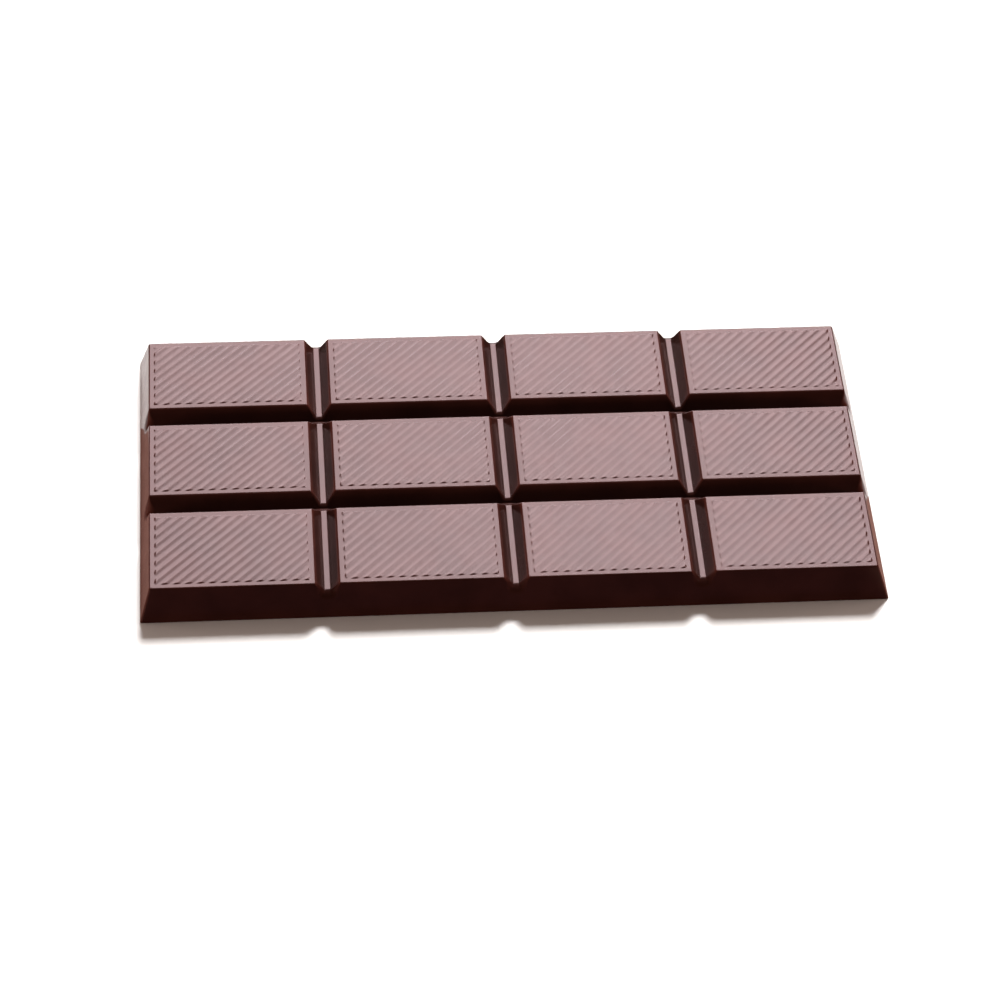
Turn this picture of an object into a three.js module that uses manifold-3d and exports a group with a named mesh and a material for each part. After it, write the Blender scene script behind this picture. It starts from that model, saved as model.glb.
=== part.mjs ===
// A moulded bar of dark chocolate that lies flat: four segments long, three deep, and ribbed on top.
// Millimetres, +Z up, +X along the bar, +Y to its back. The origin is the centre of the flat underside.

import * as THREE from 'three';
import { ConvexGeometry } from 'three/addons/geometries/ConvexGeometry.js';
import { mergeVertices } from 'three/addons/utils/BufferGeometryUtils.js';
import Module from 'manifold-3d';

// The slab. Its sides lean in by the draft that lets it drop out of a mould, and the right end leans in
// a little more than the others.
const BASE_LENGTH = 150.6;
const SEGMENT_HEIGHT = 8.05;
const DRAFT = THREE.MathUtils.degToRad(15);
const RIGHT_DRAFT = THREE.MathUtils.degToRad(19);
const CORNER_RADIUS = 0.4;
const EDGE_RADIUS = 0.55;
const FOOT_RADIUS = 0.25;

// The segments, and the grooves that the bar snaps along. The columns are alike, and the rows, listed from
// the front, are a little less wide towards the back. A groove's width is measured between the sharp lips
// that its walls and the segment tops would make if the lips weren't rounded.
const COLUMNS = 4;
const ROW_WIDTHS = [19.9, 19.35, 18.9];
const COLUMN_GROOVE = { width: 4.8, depth: 2.4, floor: 1.2, lipRadius: 0.8, floorRadius: 0.2 };
const ROW_GROOVE = { width: 4.65, depth: 3.05, floor: 0.42, lipRadius: 0.8, floorRadius: 0.35 };

// The ribs run at 45 degrees over each segment, inside a flat rim, and end in a steep slope.
const RIM_WIDTH = 0.95;
const RIB_HEIGHT = 0.15;
const RIB_SPACING = 2.35 * Math.SQRT1_2;
const RIB_FOOT_WIDTH = 1.45;
const RIB_END_SLOPE = THREE.MathUtils.degToRad(60);
const RIB_ROOT = 0.3;

// How finely the round stretches are divided. A groove's arc has twice GROOVE_ARC_DIVISIONS facets.
// A rib's section has a corner at each of these shares of half its width.
const CORNER_STEPS = 4;
const EDGE_STEPS = 3;
const GROOVE_ARC_DIVISIONS = 1;
const RIB_CORNERS = [-1, -0.4, 0, 0.4, 1];

// How far a cutter reaches past what it cuts.
const OVERSHOOT = 4;

const DARK_CHOCOLATE = 0x3b1d17;

// The top is level with the segment tops, and TOP_MIDDLE is where its middle is along X.
const LEAN = Math.tan(DRAFT);
const RIGHT_LEAN = Math.tan(RIGHT_DRAFT);
const TOP_LENGTH = BASE_LENGTH - SEGMENT_HEIGHT * (LEAN + RIGHT_LEAN);
const TOP_MIDDLE = SEGMENT_HEIGHT * (LEAN - RIGHT_LEAN) / 2;
const SEGMENT_LENGTH = (TOP_LENGTH - (COLUMNS - 1) * COLUMN_GROOVE.width) / COLUMNS;
const COLUMN_PITCH = SEGMENT_LENGTH + COLUMN_GROOVE.width;
const ROW_GROOVES_WIDTH = (ROW_WIDTHS.length - 1) * ROW_GROOVE.width;
const TOP_WIDTH = ROW_WIDTHS.reduce((sum, width) => sum + width, ROW_GROOVES_WIDTH);
const BASE_WIDTH = TOP_WIDTH + 2 * SEGMENT_HEIGHT * LEAN;

// Where each row's middle is along Y, and where the middle of the groove behind each row is.
const ROW_MIDDLES = ROW_WIDTHS.map((width, row) => {
  const nearer = ROW_WIDTHS.slice(0, row).reduce((sum, other) => sum + other + ROW_GROOVE.width, 0);
  return nearer + (width - TOP_WIDTH) / 2;
});
const ROW_GROOVE_MIDDLES = ROW_WIDTHS.slice(1).map(
  (width, row) => ROW_MIDDLES[row + 1] - (width + ROW_GROOVE.width) / 2,
);

const wasm = await Module();
wasm.setup();

// A closed three.js geometry as a solid that can be joined and cut.
function solidOf(geometry) {
  const bare = geometry.clone();
  bare.deleteAttribute('normal');
  bare.deleteAttribute('uv');
  const merged = mergeVertices(bare);
  return new wasm.Manifold(new wasm.Mesh({
    numProp: 3,
    vertProperties: new Float32Array(merged.attributes.position.array),
    triVerts: new Uint32Array(merged.index.array),
  }));
}

// A solid as a three.js geometry.
function geometryOf(solid) {
  const mesh = solid.getMesh();
  const geometry = new THREE.BufferGeometry();
  geometry.setAttribute('position', new THREE.BufferAttribute(mesh.vertProperties, 3));
  geometry.setIndex(new THREE.BufferAttribute(mesh.triVerts, 1));
  geometry.computeVertexNormals();
  return geometry;
}

// The points of a level rectangle with round corners, at a height and with its middle at a place along X.
function roundedRectangle(length, width, radius, height, middle) {
  const points = [];
  for (let corner = 0; corner < 4; corner += 1) {
    const start = corner * Math.PI / 2;
    const signX = corner === 0 || corner === 3 ? 1 : -1;
    const signY = corner < 2 ? 1 : -1;
    for (let step = 0; step <= CORNER_STEPS; step += 1) {
      const angle = start + step / CORNER_STEPS * Math.PI / 2;
      points.push(new THREE.Vector3(
        middle + signX * (length / 2 - radius) + radius * Math.cos(angle),
        signY * (width / 2 - radius) + radius * Math.sin(angle),
        height,
      ));
    }
  }
  return points;
}

// The levels that round off the slab's upper edge, each with its height and how far in from the edge it is.
function edgeLevels() {
  const turn = Math.PI / 2 - DRAFT;
  const tangent = EDGE_RADIUS * Math.tan(turn / 2);
  const levels = [];
  for (let step = 0; step <= EDGE_STEPS; step += 1) {
    const angle = turn * (1 - step / EDGE_STEPS);
    levels.push({
      height: SEGMENT_HEIGHT - EDGE_RADIUS * (1 - Math.cos(angle)),
      inset: tangent - EDGE_RADIUS * Math.sin(angle),
    });
  }
  return levels;
}

function slab() {
  const foot = 2 * FOOT_RADIUS;
  const points = roundedRectangle(BASE_LENGTH - foot, BASE_WIDTH - foot, CORNER_RADIUS, 0, 0);
  const length = BASE_LENGTH - FOOT_RADIUS * (LEAN + RIGHT_LEAN);
  const width = BASE_WIDTH - foot * LEAN;
  points.push(...roundedRectangle(length, width, CORNER_RADIUS, FOOT_RADIUS, 0));
  for (const { height, inset } of edgeLevels()) {
    const levelLength = TOP_LENGTH - 2 * inset;
    const levelWidth = TOP_WIDTH - 2 * inset;
    points.push(...roundedRectangle(levelLength, levelWidth, CORNER_RADIUS, height, TOP_MIDDLE));
  }
  return solidOf(new ConvexGeometry(points));
}

// The section of a groove, as the outline of what it takes away: round lips, sloping walls and a floor with
// round corners. The origin is midway between the lips, at the height of the segment tops.
function grooveOutline({ width, depth, floor, lipRadius, floorRadius }) {
  const slope = Math.atan2(depth, (width - floor) / 2);
  const lipX = width / 2 + lipRadius * Math.tan(slope / 2);
  const floorX = floor / 2 - floorRadius * Math.tan(slope / 2);
  const floorY = floorRadius - depth;
  const quarter = Math.PI / 2;
  const outline = new THREE.Shape();
  outline.moveTo(-lipX, OVERSHOOT);
  outline.lineTo(-lipX, 0);
  outline.absarc(-lipX, -lipRadius, lipRadius, quarter, quarter - slope, true);
  outline.absarc(-floorX, floorY, floorRadius, -quarter - slope, -quarter, false);
  outline.absarc(floorX, floorY, floorRadius, -quarter, slope - quarter, false);
  outline.absarc(lipX, -lipRadius, lipRadius, quarter + slope, quarter, true);
  outline.lineTo(lipX, OVERSHOOT);
  return outline;
}

// A groove's outline drawn out along Y and set at the height of the segment tops.
function grooveCutter(groove, length) {
  const cutter = new THREE.ExtrudeGeometry(grooveOutline(groove), {
    depth: length + 2 * OVERSHOOT,
    bevelEnabled: false,
    curveSegments: GROOVE_ARC_DIVISIONS,
  });
  cutter.translate(0, 0, -length / 2 - OVERSHOOT);
  cutter.rotateX(Math.PI / 2);
  cutter.translate(0, 0, SEGMENT_HEIGHT);
  return cutter;
}

function columnGrooves() {
  const cutters = [];
  for (let column = 1; column < COLUMNS; column += 1) {
    const cutter = grooveCutter(COLUMN_GROOVE, BASE_WIDTH);
    cutter.translate(TOP_MIDDLE + (column - COLUMNS / 2) * COLUMN_PITCH, 0, 0);
    cutters.push(solidOf(cutter));
  }
  return cutters;
}

function rowGrooves() {
  return ROW_GROOVE_MIDDLES.map((middle) => {
    const cutter = grooveCutter(ROW_GROOVE, BASE_LENGTH);
    cutter.rotateZ(Math.PI / 2);
    cutter.translate(0, middle, 0);
    return solidOf(cutter);
  });
}

// One rib along the diagonal through the origin: a low smooth wave in section, rooted below the surface.
function rib(length) {
  const section = new THREE.Shape();
  section.moveTo(-RIB_FOOT_WIDTH / 2, -RIB_ROOT);
  for (const share of RIB_CORNERS) {
    section.lineTo(share * RIB_FOOT_WIDTH / 2, RIB_HEIGHT * Math.cos(share * Math.PI / 2) ** 2);
  }
  section.lineTo(RIB_FOOT_WIDTH / 2, -RIB_ROOT);
  const geometry = new THREE.ExtrudeGeometry(section, { depth: length, bevelEnabled: false });
  geometry.translate(0, 0, -length / 2);
  geometry.rotateX(Math.PI / 2);
  geometry.rotateZ(-Math.PI / 4);
  return geometry;
}

// The block that one segment's ribs are cut to, with sides that lean in at the slope of the ribs' ends.
function ribbedField(length, width) {
  const lean = 1 / Math.tan(RIB_END_SLOPE);
  const points = [];
  for (const height of [-2 * RIB_ROOT, 2 * RIB_HEIGHT]) {
    for (const signX of [-1, 1]) {
      for (const signY of [-1, 1]) {
        points.push(new THREE.Vector3(
          signX * (length / 2 - height * lean),
          signY * (width / 2 - height * lean),
          height,
        ));
      }
    }
  }
  return solidOf(new ConvexGeometry(points));
}

function segmentRibs(segmentWidth) {
  const length = SEGMENT_LENGTH - 2 * RIM_WIDTH;
  const width = segmentWidth - 2 * RIM_WIDTH;
  const reach = (length + width) * Math.SQRT1_2 / 2;
  const count = Math.floor(reach / RIB_SPACING);
  const oneRib = rib(2 * Math.hypot(length, width));
  let ribs = solidOf(oneRib);
  for (let number = 1; number <= count; number += 1) {
    for (const side of [-1, 1]) {
      const offset = side * number * RIB_SPACING * Math.SQRT1_2;
      ribs = ribs.add(solidOf(oneRib.clone().translate(offset, -offset, 0)));
    }
  }
  return ribs.intersect(ribbedField(length, width));
}

function chocolateBar() {
  let bar = slab();
  for (const cutter of [...columnGrooves(), ...rowGrooves()]) {
    bar = bar.subtract(cutter);
  }
  for (let row = 0; row < ROW_WIDTHS.length; row += 1) {
    const ribs = segmentRibs(ROW_WIDTHS[row]);
    for (let column = 0; column < COLUMNS; column += 1) {
      const x = TOP_MIDDLE + (column - (COLUMNS - 1) / 2) * COLUMN_PITCH;
      bar = bar.add(ribs.translate([x, ROW_MIDDLES[row], SEGMENT_HEIGHT]));
    }
  }
  return geometryOf(bar);
}

const chocolate = new THREE.MeshStandardMaterial({ color: DARK_CHOCOLATE, roughness: 0.35, metalness: 0 });
const bar = new THREE.Mesh(chocolateBar(), chocolate);
bar.name = 'chocolate_bar';

const part = new THREE.Group();
part.add(bar);

export default part;
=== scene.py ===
"""A moulded bar of dark chocolate that lies on a pale floor. Metres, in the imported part's own frame."""

import math

import bmesh
import bpy
from mathutils import Matrix, Vector


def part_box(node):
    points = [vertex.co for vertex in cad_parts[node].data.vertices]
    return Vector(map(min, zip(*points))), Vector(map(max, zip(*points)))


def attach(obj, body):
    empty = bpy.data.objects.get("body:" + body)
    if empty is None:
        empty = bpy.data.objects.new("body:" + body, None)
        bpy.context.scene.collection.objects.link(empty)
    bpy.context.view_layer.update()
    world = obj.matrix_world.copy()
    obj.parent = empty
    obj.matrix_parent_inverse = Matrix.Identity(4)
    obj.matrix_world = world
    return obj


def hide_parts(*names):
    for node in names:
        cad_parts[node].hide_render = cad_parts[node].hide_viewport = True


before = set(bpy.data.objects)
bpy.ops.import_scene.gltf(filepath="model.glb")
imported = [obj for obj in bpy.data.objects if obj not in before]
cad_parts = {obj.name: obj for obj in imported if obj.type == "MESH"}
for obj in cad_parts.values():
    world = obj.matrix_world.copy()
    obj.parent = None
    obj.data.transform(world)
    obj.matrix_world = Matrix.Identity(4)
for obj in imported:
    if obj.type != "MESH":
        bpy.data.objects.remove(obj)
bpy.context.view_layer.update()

MM = 0.001
NODE = "chocolate_bar"

# The slab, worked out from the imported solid's box. Its sides lean in by the draft that frees it from a
# mould, and the right end leans a little more. TOP_MIDDLE is where the middle of the segment tops is
# along X.
LOW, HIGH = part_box(NODE)
SEGMENT_HEIGHT = 8.05 * MM
RIB_HEIGHT = HIGH.z - SEGMENT_HEIGHT
LEAN = math.tan(math.radians(15))
RIGHT_LEAN = math.tan(math.radians(19))
FOOT_HEIGHT = 0.25 * MM
BASE_LENGTH = HIGH.x - LOW.x + FOOT_HEIGHT * (LEAN + RIGHT_LEAN)
BASE_WIDTH = HIGH.y - LOW.y + 2 * FOOT_HEIGHT * LEAN
TOP_LENGTH = BASE_LENGTH - SEGMENT_HEIGHT * (LEAN + RIGHT_LEAN)
TOP_WIDTH = BASE_WIDTH - 2 * SEGMENT_HEIGHT * LEAN
TOP_MIDDLE = SEGMENT_HEIGHT * (LEAN - RIGHT_LEAN) / 2
CORNER_RADIUS = 0.4 * MM
CORNER_STEPS = 5

# The segments, and the grooves that the bar snaps along. Widths are between sharp lips, before they are
# rounded, and the rows are listed from the front. OVERSHOOT is how far a groove's cutter passes the bar.
COLUMNS = 4
ROW_WIDTHS = [19.9 * MM, 19.35 * MM, 18.9 * MM]
COLUMN_GROOVE = {"width": 4.8 * MM, "depth": 2.4 * MM, "floor": 1.2 * MM, "rounding": 0.14 * MM}
ROW_GROOVE = {"width": 4.65 * MM, "depth": 3.05 * MM, "floor": 0.42 * MM, "rounding": 0.20 * MM}
SEGMENT_LENGTH = (TOP_LENGTH - (COLUMNS - 1) * COLUMN_GROOVE["width"]) / COLUMNS
COLUMN_PITCH = SEGMENT_LENGTH + COLUMN_GROOVE["width"]
ROW_FRONTS = [
    sum(ROW_WIDTHS[:row]) + row * ROW_GROOVE["width"] - TOP_WIDTH / 2
    for row in range(len(ROW_WIDTHS))
]
OVERSHOOT = 4 * MM
FLOOR_CORNER_STEPS = 3

# Edges that turn more than SHARP are rounded, and these are how far the rounding reaches to either side of
# an edge. At the ends of the grooves it grows with the depth, and is full a little above the floor.
SHARP = math.radians(25)
FOOT_ROUNDING = 0.28 * MM
LIP_ROUNDING = 0.28 * MM
INNER_END_ROUNDING = 0.62 * MM
OUTER_END_ROUNDING = 1.7 * MM
FULL_ROUNDING_DEPTH = 0.85 * COLUMN_GROOVE["depth"]
END_STEPS = 5
ROUNDING_STEPS = 4

# The ribs run at 45 degrees over each segment, inside a flat rim, and run out in a short steep end.
# RIB_LINES is how many lines shape one rib, and FOOT_LINE is the flat edge that the ribs stop short of.
RIM_WIDTH = 0.95 * MM
RIB_SPACING = 2.35 * MM * math.sqrt(0.5)
RIB_FOOT_WIDTH = 1.45 * MM
RIB_END = 0.45 * MM
RIB_END_STEPS = 4
RIB_LINES = 9
FOOT_LINE = 0.04 * MM

# What counts as the same: points to merge, a point that a cutting plane goes through, and faces of one
# flat side. The faces of the underside all lie below UNDERSIDE_HEIGHT.
SAME_PLACE = 0.001 * MM
SAME_PLANE = 0.000001 * MM
SAME_DIRECTION = math.radians(1)
UNDERSIDE_HEIGHT = 0.01 * MM


def linear(colour):
    """A hex sRGB colour as linear red, green, blue and alpha."""
    values = [int(colour[i : i + 2], 16) / 255 for i in (1, 3, 5)]
    return [v / 12.92 if v <= 0.04045 else ((v + 0.055) / 1.055) ** 2.4 for v in values] + [1.0]


def piece_from(name, bm, *materials):
    """A bmesh as a finished object at the origin, smooth all over."""
    for face in bm.faces:
        face.smooth = True
    mesh = bpy.data.meshes.new(name)
    bm.to_mesh(mesh)
    bm.free()
    for material in materials:
        mesh.materials.append(material)
    piece = bpy.data.objects.new(name, mesh)
    bpy.context.scene.collection.objects.link(piece)
    return piece


def settle(piece):
    """Makes the piece's live modifiers part of its mesh."""
    seen = piece.evaluated_get(bpy.context.evaluated_depsgraph_get())
    shaped = bpy.data.meshes.new_from_object(seen)
    piece.modifiers.clear()
    plain = piece.data
    piece.data = shaped
    bpy.data.meshes.remove(plain)


def discard(piece):
    """Takes a piece that has done its work out of the scene, with its mesh."""
    mesh = piece.data
    bpy.data.objects.remove(piece)
    bpy.data.meshes.remove(mesh)


def bevel(bm, edges, offset, segments):
    """Rounds some edges of a bmesh."""
    bmesh.ops.bevel(
        bm,
        geom=edges,
        offset=offset,
        offset_type="OFFSET",
        segments=segments,
        profile=0.5,
        affect="EDGES",
        clamp_overlap=False,
        material=-1,
    )


def block(length, width, height, top_length, top_width):
    """A closed block that stands on the origin, with a top of its own size."""
    bm = bmesh.new()
    bmesh.ops.create_cube(bm, size=1)
    bmesh.ops.scale(bm, vec=(length, width, height), verts=bm.verts)
    bmesh.ops.translate(bm, vec=(0, 0, height / 2), verts=bm.verts)
    top = [v for v in bm.verts if v.co.z > height / 2]
    bmesh.ops.scale(bm, vec=(top_length / length, top_width / width, 1), verts=top)
    return bm


def rise(edge):
    """How much higher one end of an edge is than the other."""
    return abs(edge.verts[0].co.z - edge.verts[1].co.z)


def slab():
    """The bar without its grooves and ribs: sides that lean in, and round upright corners."""
    bm = block(BASE_LENGTH, BASE_WIDTH, SEGMENT_HEIGHT, TOP_LENGTH, TOP_WIDTH)
    top = [v for v in bm.verts if v.co.z > SEGMENT_HEIGHT / 2]
    bmesh.ops.translate(bm, vec=(TOP_MIDDLE, 0, 0), verts=top)
    upright = [e for e in bm.edges if rise(e) > SEGMENT_HEIGHT / 2]
    bevel(bm, upright, CORNER_RADIUS, CORNER_STEPS)
    return piece_from("rough_bar", bm)


def groove_cutter(groove, length):
    """What a groove along Y takes away, its floor's corners already round."""
    height = groove["depth"] + OVERSHOOT
    run = (groove["width"] - groove["floor"]) / 2 * height / groove["depth"]
    reach = length + 2 * OVERSHOOT
    bm = block(groove["floor"], reach, height, groove["floor"] + 2 * run, reach)
    low = [e for e in bm.edges if max(v.co.z for v in e.verts) < groove["depth"] / 2]
    floor_sides = [e for e in low if e.calc_length() > length / 2]
    bevel(bm, floor_sides, groove["rounding"], FLOOR_CORNER_STEPS)
    bmesh.ops.translate(bm, vec=(0, 0, SEGMENT_HEIGHT - groove["depth"]), verts=bm.verts)
    return bm


def cut(piece, bm):
    """Takes the shape in bm away from the piece."""
    cutter = piece_from("cutter", bm)
    difference = piece.modifiers.new("cut", "BOOLEAN")
    difference.operation = "DIFFERENCE"
    difference.solver = "EXACT"
    difference.object = cutter
    settle(piece)
    discard(cutter)


def cut_grooves(piece):
    """Cuts the grooves between the columns, and then the deeper ones between the rows."""
    for number in range(1, COLUMNS):
        bm = groove_cutter(COLUMN_GROOVE, BASE_WIDTH)
        middle = TOP_MIDDLE + (number - COLUMNS / 2) * COLUMN_PITCH
        bmesh.ops.translate(bm, vec=(middle, 0, 0), verts=bm.verts)
        cut(piece, bm)
    for front in ROW_FRONTS[1:]:
        bm = groove_cutter(ROW_GROOVE, BASE_LENGTH)
        bmesh.ops.rotate(bm, cent=(0, 0, 0), matrix=Matrix.Rotation(math.pi / 2, 3, "Z"), verts=bm.verts)
        bmesh.ops.translate(bm, vec=(0, front - ROW_GROOVE["width"] / 2, 0), verts=bm.verts)
        cut(piece, bm)


def is_sharp(edge):
    """Whether the faces beside an edge turn enough for it to need rounding."""
    return edge.is_manifold and edge.calc_face_angle() > SHARP


def rounding_of(edge):
    """How far an edge is rounded: alike along lips and foot, and more and more down a groove's end."""
    middle = (edge.verts[0].co + edge.verts[1].co) / 2
    if middle.z < FOOT_HEIGHT:
        return FOOT_ROUNDING
    outer = abs(middle.x - TOP_MIDDLE) > TOP_LENGTH / 2 or abs(middle.y) > TOP_WIDTH / 2
    deepest = OUTER_END_ROUNDING if outer else INNER_END_ROUNDING
    share = min((SEGMENT_HEIGHT - middle.z) / FULL_ROUNDING_DEPTH, 1)
    return LIP_ROUNDING + (deepest - LIP_ROUNDING) * share ** 2


def round_edges(piece):
    """Rounds every sharp edge as far as rounding_of says, with the steep ones first cut into steps."""
    bm = bmesh.new()
    bm.from_mesh(piece.data)
    bmesh.ops.remove_doubles(bm, verts=bm.verts, dist=SAME_PLACE)
    bmesh.ops.dissolve_limit(bm, angle_limit=SAME_DIRECTION, verts=bm.verts, edges=bm.edges)
    slopes = [e for e in bm.edges if is_sharp(e) and rise(e) > COLUMN_GROOVE["depth"] / 2]
    bmesh.ops.subdivide_edges(bm, edges=slopes, cuts=END_STEPS)
    weight = bm.edges.layers.float.new("bevel_weight_edge")
    for edge in bm.edges:
        if is_sharp(edge):
            edge[weight] = rounding_of(edge) / OUTER_END_ROUNDING
    bm.to_mesh(piece.data)
    bm.free()
    rounding = piece.modifiers.new("rounding", "BEVEL")
    rounding.limit_method = "WEIGHT"
    rounding.offset_type = "OFFSET"
    rounding.width = OUTER_END_ROUNDING
    rounding.segments = ROUNDING_STEPS
    rounding.profile = 0.5
    rounding.use_clamp_overlap = False
    settle(piece)


def segment_centres(front, width):
    """The middles of one row's segment tops."""
    for column in range(COLUMNS):
        middle = TOP_MIDDLE + (column - (COLUMNS - 1) / 2) * COLUMN_PITCH
        yield Vector((middle, front + width / 2, SEGMENT_HEIGHT))


def bisect(bm, geom, point, direction):
    """Cuts along a plane, and gives what was cut with its new edges."""
    halved = bmesh.ops.bisect_plane(
        bm, geom=geom, dist=SAME_PLANE, plane_co=point, plane_no=direction,
    )
    return halved["geom"]


def ribbed_field(length, width):
    """One segment's ribs as an open sheet, with a plain straight border at the height of the rim."""
    bm = bmesh.new()
    bmesh.ops.create_grid(bm, x_segments=1, y_segments=1, size=0.5)
    bmesh.ops.scale(bm, vec=(length, width, 1), verts=bm.verts)
    inner = list(bm.faces)
    for ring in [FOOT_LINE] + [RIB_END / RIB_END_STEPS] * RIB_END_STEPS:
        bmesh.ops.inset_region(
            bm, faces=inner, thickness=ring, use_boundary=True, use_even_offset=True,
        )
    sheet = [f for f in bm.faces if not any(e.is_boundary for e in f.edges)]
    edges = {e for f in sheet for e in f.edges}
    verts = {v for f in sheet for v in f.verts}
    geom = [*sheet, *edges, *verts]
    across = Vector((1, -1, 0)).normalized()
    count = math.floor((length + width) * math.sqrt(0.5) / 2 / RIB_SPACING)
    for number in range(-count, count + 1):
        for line in range(RIB_LINES):
            share = 2 * line / (RIB_LINES - 1) - 1
            offset = number * RIB_SPACING + share * RIB_FOOT_WIDTH / 2
            geom = bisect(bm, geom, across * offset, across)
    for vert in bm.verts:
        from_rib = vert.co.dot(across) / RIB_SPACING
        share = (from_rib - round(from_rib)) * RIB_SPACING / (RIB_FOOT_WIDTH / 2)
        inside = min(length / 2 - abs(vert.co.x), width / 2 - abs(vert.co.y)) - FOOT_LINE
        ramp = min(max(inside / RIB_END, 0), 1)
        soft_ramp = ramp * ramp * (3 - 2 * ramp)
        if abs(share) < 1:
            vert.co.z = RIB_HEIGHT * math.cos(share * math.pi / 2) ** 2 * soft_ramp
    mesh = bpy.data.meshes.new("ribbed_field")
    bm.to_mesh(mesh)
    bm.free()
    return mesh


def open_field(bm, face, centre, length, width):
    """Cuts the ribbed field's straight border into a segment's flat top, and takes the field out."""
    geom = [face, *face.edges, *face.verts]
    along, across = Vector((1, 0, 0)), Vector((0, 1, 0))
    for direction, distance in ((along, length / 2), (across, width / 2)):
        for side in (-1, 1):
            geom = bisect(bm, geom, centre + side * distance * direction, direction)
    faces = [g for g in geom if isinstance(g, bmesh.types.BMFace)]
    middle = min(faces, key=lambda f: (f.calc_center_median() - centre).length)
    bmesh.ops.delete(bm, geom=[middle], context="FACES")


def add_ribs(bm):
    """Puts a ribbed field into the flat top of every segment."""
    length = SEGMENT_LENGTH - 2 * RIM_WIDTH
    for front, row_width in zip(ROW_FRONTS, ROW_WIDTHS):
        width = row_width - 2 * RIM_WIDTH
        field = ribbed_field(length, width)
        for centre in segment_centres(front, row_width):
            level = [f for f in bm.faces if abs(f.calc_center_median().z - SEGMENT_HEIGHT) < SAME_PLACE]
            top = min(level, key=lambda f: (f.calc_center_median() - centre).length)
            open_field(bm, top, centre, length, width)
            known = set(bm.verts)
            bm.from_mesh(field)
            bmesh.ops.translate(bm, vec=centre, verts=[v for v in bm.verts if v not in known])
        bpy.data.meshes.remove(field)
    bmesh.ops.remove_doubles(bm, verts=bm.verts, dist=SAME_PLACE)


def chocolate_bar(moulded, poured):
    """The whole bar, with the moulded finish all over except on the flat underside, which was poured."""
    rough = slab()
    cut_grooves(rough)
    round_edges(rough)
    bm = bmesh.new()
    bm.from_mesh(rough.data)
    add_ribs(bm)
    bmesh.ops.recalc_face_normals(bm, faces=bm.faces)
    for face in bm.faces:
        face.material_index = 1 if face.calc_center_median().z < UNDERSIDE_HEIGHT else 0
    discard(rough)
    bar = piece_from(NODE + "_dressed", bm, moulded, poured)
    normals = bar.modifiers.new("flat faces stay flat", "WEIGHTED_NORMAL")
    normals.keep_sharp = True
    return bar


def add(tree, kind, inputs, **settings):
    """Adds a node with its settings. An input given as a socket is linked, and any other value is set."""
    node = tree.nodes.new(kind)
    for name, value in settings.items():
        setattr(node, name, value)
    for name, value in inputs.items():
        if isinstance(value, bpy.types.NodeSocket):
            tree.links.new(value, node.inputs[name])
        else:
            node.inputs[name].default_value = value
    return node


# Sizes in the chocolate: soft clouds of colour, patches where handling has dulled the gloss, the slow
# waves that bend its reflections, and the grain of cocoa and sugar, drawn about ten times as coarse as it
# is so that it shows. The ranges are the values of the noise, from 0 to 1, between which the clouds and
# the patches change.
CLOUD_SIZE = 9 * MM
CLOUD_RANGE = (0.35, 0.65)
DULL_PATCH_SIZE = 2.5 * MM
DULL_PATCH_RANGE = (0.3, 0.7)
WAVE_SIZE = 7 * MM
GRAIN_SIZE = 0.35 * MM
CHOCOLATE_IOR = 1.46


def chocolate(name, deep, pale, glossy, dull, wave_height, grain_height):
    """Dark chocolate: two browns in soft clouds, patches of duller gloss, and slow waves under a grain."""
    material = bpy.data.materials.new(name)
    material.use_nodes = True
    tree = material.node_tree
    shader = tree.nodes["Principled BSDF"]
    shader.inputs["IOR"].default_value = CHOCOLATE_IOR
    place = add(tree, "ShaderNodeTexCoord", {}).outputs["Object"]

    clouds = add(tree, "ShaderNodeTexNoise", {"Vector": place, "Scale": 1 / CLOUD_SIZE, "Detail": 3.0})
    tone = add(
        tree, "ShaderNodeMapRange",
        {"Value": clouds.outputs[0], "From Min": CLOUD_RANGE[0], "From Max": CLOUD_RANGE[1]},
    )
    # This node's inputs go by number, because several share a name: 0 is the share, 6 and 7 the colours.
    colour = add(
        tree, "ShaderNodeMix",
        {0: tone.outputs[0], 6: linear(deep), 7: linear(pale)},
        data_type="RGBA",
    )
    tree.links.new(colour.outputs[2], shader.inputs["Base Color"])

    patches = add(
        tree, "ShaderNodeTexNoise",
        {"Vector": place, "Scale": 1 / DULL_PATCH_SIZE, "Detail": 1.0},
    )
    gloss = add(
        tree, "ShaderNodeMapRange",
        {
            "Value": patches.outputs[0],
            "From Min": DULL_PATCH_RANGE[0],
            "From Max": DULL_PATCH_RANGE[1],
            "To Min": glossy,
            "To Max": dull,
        },
    )
    tree.links.new(gloss.outputs[0], shader.inputs["Roughness"])

    waves = add(tree, "ShaderNodeTexNoise", {"Vector": place, "Scale": 1 / WAVE_SIZE, "Detail": 1.0})
    grain = add(tree, "ShaderNodeTexNoise", {"Vector": place, "Scale": 1 / GRAIN_SIZE, "Detail": 2.0})
    slow = add(
        tree, "ShaderNodeBump",
        {"Height": waves.outputs[0], "Distance": wave_height, "Strength": 1.0},
    )
    fine = add(
        tree, "ShaderNodeBump",
        {
            "Height": grain.outputs[0],
            "Distance": grain_height,
            "Strength": 1.0,
            "Normal": slow.outputs[0],
        },
    )
    tree.links.new(fine.outputs[0], shader.inputs["Normal"])
    return material


def moulded_chocolate():
    """Tempered dark chocolate from a polished mould: deep red-brown, even, with a satin gloss."""
    return chocolate(
        "tempered_dark_chocolate_moulded",
        deep="#381c17",
        pale="#41221d",
        glossy=0.20,
        dull=0.24,
        wave_height=0.04 * MM,
        grain_height=0.002 * MM,
    )


def poured_chocolate():
    """The same chocolate where it set open to the air: duller, wavier and a little patchy."""
    return chocolate(
        "tempered_dark_chocolate_poured",
        deep="#3b1c18",
        pale="#48241f",
        glossy=0.45,
        dull=0.60,
        wave_height=0.25 * MM,
        grain_height=0.012 * MM,
    )


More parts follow.
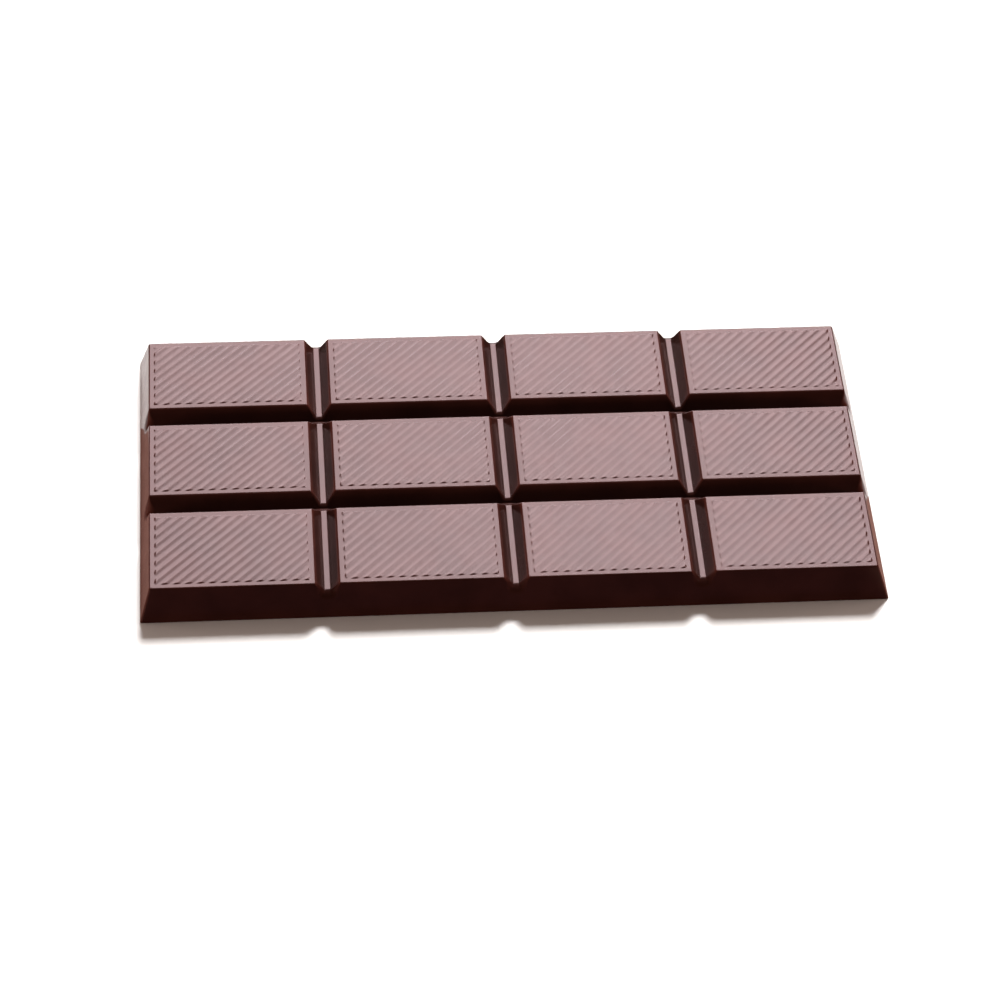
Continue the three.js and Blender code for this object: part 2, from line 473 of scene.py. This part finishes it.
# The floor, and the stretches that the bar mirrors, which lie just over it: painted reflections, which the
# camera doesn't see. Beside each end they are white behind the place along Y where they change, and brown
# in front of it.
FLOOR_SIZE = 6
PAPER_ROUGHNESS = 0.9
MIRRORED_WIDTH = 1
MIRRORED_LIFT = 0.02 * MM
MIRRORED_LEFT_CHANGE = 17 * MM
MIRRORED_RIGHT_CHANGE = -8 * MM
MIRRORED_FRONT = -60 * MM
MIRRORED_BACK = 200 * MM


def matt_paper(name, colour):
    """Uncoated paper: one even colour, and no gloss of its own."""
    material = bpy.data.materials.new(name)
    material.use_nodes = True
    shader = material.node_tree.nodes["Principled BSDF"]
    shader.inputs["Base Color"].default_value = linear(colour)
    shader.inputs["Roughness"].default_value = PAPER_ROUGHNESS
    shader.inputs["Specular IOR Level"].default_value = 0.0
    return material


def painted_reflection_stretch(name, across, along, material):
    """A painted reflection: a sheet just over the floor that only reflections show, between two places
    along X and two along Y.
    """
    bm = bmesh.new()
    bmesh.ops.create_grid(bm, x_segments=1, y_segments=1, size=0.5)
    bmesh.ops.scale(bm, vec=(across[1] - across[0], along[1] - along[0], 1), verts=bm.verts)
    bmesh.ops.translate(bm, vec=(sum(across) / 2, sum(along) / 2, MIRRORED_LIFT), verts=bm.verts)
    stretch = piece_from(name, bm, material)
    stretch.visible_camera = False
    stretch.visible_diffuse = False
    stretch.visible_shadow = False


def floor():
    """The pale floor, and the painted reflections: stretches beside and before the bar that its steep
    sides mirror.
    """
    bm = bmesh.new()
    bmesh.ops.create_grid(bm, x_segments=1, y_segments=1, size=FLOOR_SIZE / 2)
    white = matt_paper("matt_white_paper_sweep", "#f4f4f4")
    ground = piece_from("pale_floor", bm, white)
    ground.visible_diffuse = False
    ground.visible_glossy = False
    # Painted reflections: brown and dark sheets, darker than the floor, that only the gloss sees, so the
    # steep sides mirror darkness there.
    brown = matt_paper("painted_reflection_brown_paper", "#9e8077")
    dark = matt_paper("painted_reflection_dark_paper", "#382a38")
    near = BASE_LENGTH / 2
    far = near + MIRRORED_WIDTH
    left, right = (-far, -near), (near, far)
    painted_reflection_stretch("left_painted_reflection_white", left, (MIRRORED_LEFT_CHANGE, MIRRORED_BACK), white)
    painted_reflection_stretch("left_painted_reflection_brown", left, (MIRRORED_FRONT, MIRRORED_LEFT_CHANGE), brown)
    painted_reflection_stretch("right_painted_reflection_white", right, (MIRRORED_RIGHT_CHANGE, MIRRORED_BACK), white)
    painted_reflection_stretch("right_painted_reflection_brown", right, (MIRRORED_FRONT, MIRRORED_RIGHT_CHANGE), brown)
    painted_reflection_stretch("front_painted_reflection_dark", (-near, near), (-MIRRORED_BACK, -BASE_WIDTH / 2), dark)


# The camera, fitted to the photograph's corners and lips. The angles turn the view round the bar, down
# and over, and the offsets are from the centre of the segment tops, in the camera's own right, up and
# forward directions. The focal length is in pixels of a picture of PICTURE_SIDE, and the sensor in
# millimetres.
VIEW_TURN = math.radians(6.51)
VIEW_ELEVATION = math.radians(48.60)
VIEW_ROLL = math.radians(-3.165)
VIEW_OFFSET = Vector((0.93, 9.88, 666.0)) * MM
PICTURE_SIDE = 1000
FOCAL_PIXELS = 3237
SENSOR = 36


def photo_camera():
    """The camera that looks at the bar as the photograph does."""
    sine, cosine = math.sin(VIEW_ELEVATION), math.cos(VIEW_ELEVATION)
    down = Matrix(((1, 0, 0), (0, sine, cosine), (0, cosine, -sine)))
    roll = Matrix.Rotation(VIEW_ROLL, 3, "Z")
    turn = Matrix.Rotation(VIEW_TURN, 3, "Z")
    axes = roll @ down @ turn
    data = bpy.data.cameras.new("camera")
    data.sensor_width = SENSOR
    data.lens = FOCAL_PIXELS / PICTURE_SIDE * SENSOR
    camera = bpy.data.objects.new("camera", data)
    bpy.context.scene.collection.objects.link(camera)
    place = Vector((TOP_MIDDLE, 0, SEGMENT_HEIGHT)) - axes.transposed() @ VIEW_OFFSET
    facing = Matrix((axes[0], axes[1], -axes[2])).transposed()
    camera.matrix_world = Matrix.Translation(place) @ facing.to_4x4()
    bpy.context.scene.camera = camera


# The lights, which the camera itself doesn't see. A gamma under one makes the dark tones deeper, as they
# are in the photograph.
LIGHT_DISTANCE = 1.2
CARD_DISTANCE = 2.76
WHITE = (1.0, 1.0, 1.0)
SOFTBOX_COLOUR = (1.0, 0.82, 0.85)
FILL_COLOUR = (1.0, 0.80, 0.70)
WORLD_STRENGTH = 0.012
PICTURE_GAMMA = 0.87


def softbox(name, angles, size, brightness, colour, distance=LIGHT_DISTANCE):
    """A soft light that faces the bar.

    Its angles are how high it is and how far round the bar, in degrees from straight behind it. The size
    is its width and depth, and the brightness is in watts for each square metre of it.
    """
    data = bpy.data.lights.new(name, "AREA")
    data.shape = "RECTANGLE"
    data.size, data.size_y = size
    data.energy = brightness * size[0] * size[1]
    data.color = colour
    light = bpy.data.objects.new(name, data)
    light.visible_camera = False
    bpy.context.scene.collection.objects.link(light)
    up, round_bar = (math.radians(angle) for angle in angles)
    level = distance * math.cos(up)
    light.location = (level * math.sin(round_bar), level * math.cos(round_bar), distance * math.sin(up))
    light.rotation_euler = (-light.location).to_track_quat("-Z", "Y").to_euler()
    return light


def studio():
    """Lights that only the gloss mirrors, others that light everything but it, and a faint glow."""
    world = bpy.data.worlds.new("studio")
    bpy.context.scene.world = world
    world.use_nodes = True
    glow = world.node_tree.nodes["Background"]
    glow.inputs["Color"].default_value = (*FILL_COLOUR, 1)
    glow.inputs["Strength"].default_value = WORLD_STRENGTH
    mirrored = [
        softbox("back_softbox", (42.5, 3.6), (1.05, 1.05), 27.8, SOFTBOX_COLOUR),
        softbox("right_wing", (60, 56), (0.4, 0.4), 32, SOFTBOX_COLOUR),
        softbox("low_back_strip", (4, 0), (0.8, 0.2), 26, SOFTBOX_COLOUR),
    ]
    lighting = [
        softbox("key", (49, 14), (0.25, 0.25), 385, WHITE),
        softbox("fill", (60, 0), (1.2, 1.0), 2, FILL_COLOUR),
        softbox("left_card", (4, -95), (2.3, 0.345), 190, FILL_COLOUR, CARD_DISTANCE),
        softbox("right_card", (4, 95), (2.3, 0.345), 190, FILL_COLOUR, CARD_DISTANCE),
    ]
    for light in mirrored:
        light.visible_diffuse = False
    for light in lighting:
        light.visible_glossy = False
    view = bpy.context.scene.view_settings
    view.view_transform = "Standard"
    view.look = "None"
    view.gamma = PICTURE_GAMMA


photo_camera()
bar = chocolate_bar(moulded_chocolate(), poured_chocolate())
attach(bar, "root")
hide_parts(NODE)
floor()
studio()
